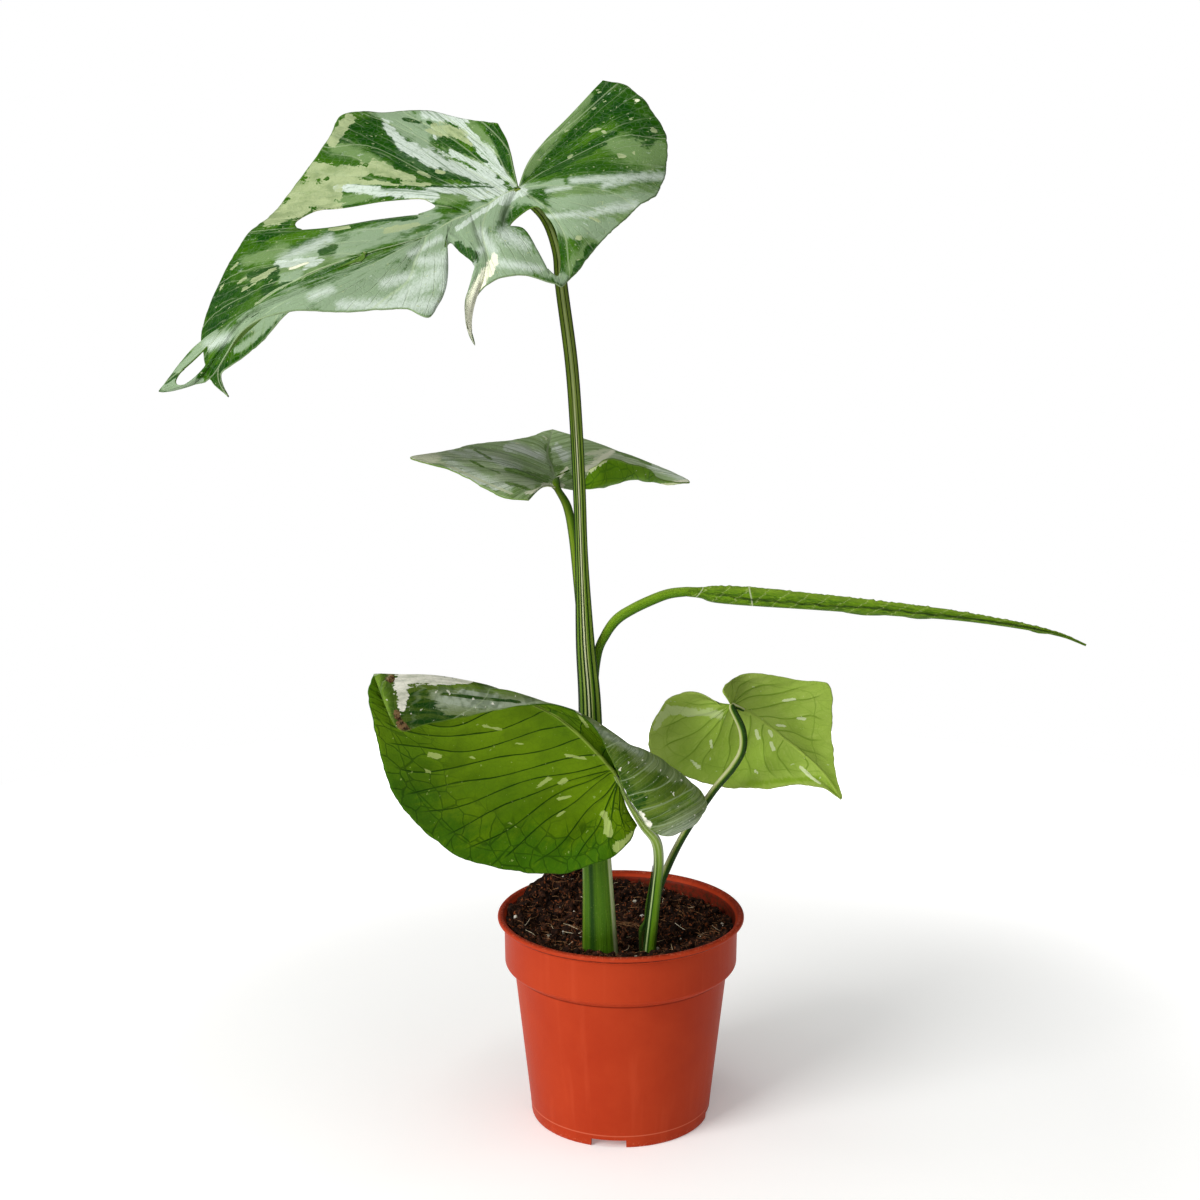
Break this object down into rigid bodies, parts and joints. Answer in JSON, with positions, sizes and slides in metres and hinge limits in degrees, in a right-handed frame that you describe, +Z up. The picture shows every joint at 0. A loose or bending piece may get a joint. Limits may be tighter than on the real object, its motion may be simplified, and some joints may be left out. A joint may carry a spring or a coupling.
{
  "type": "potted thai constellation monstera",
  "caption": "Young variegated split-leaf aroid in a round plastic nursery pot of peaty soil, with an arching top leaf, lower heart-shaped leaves and a new leaf still rolled.",
  "frame": {"origin": "the point on the pot's axis at the plane that the pot stands on", "axes": "+Z up along the pot's axis, -Y towards the viewer of the picture, +X to the viewer's right, where the rolled leaf points"},
  "size_m": [0.4017, 0.2182, 0.4993],
  "materials": {
    "pot_plastic": "smooth satin terracotta-coloured plastic",
    "soil": "moist loose peat, dull",
    "stem": "dull, buried",
    "petiole": "smooth green with pale stripes",
    "leaf_top_side": "glossy dark green with cream and grey-green variegation",
    "leaf_underside": "satin yellow-green with dark net veins",
    "rolled_leaf": "satin fresh green"
  },
  "bodies": {
    "root": {"pot": "pot_plastic", "soil": "soil", "buried_stem": "stem", "leaf_1_petiole": "petiole", "leaf_1_blade": "leaf_top_side", "leaf_2_petiole": "petiole", "leaf_2_blade": "leaf_top_side", "leaf_3_petiole": "petiole", "leaf_3_blade": "leaf_underside", "leaf_4_petiole": "petiole", "leaf_4_blade": "leaf_underside", "rolled_leaf_petiole": "petiole", "rolled_leaf_blade": "rolled_leaf"}
  },
  "joints": []
}
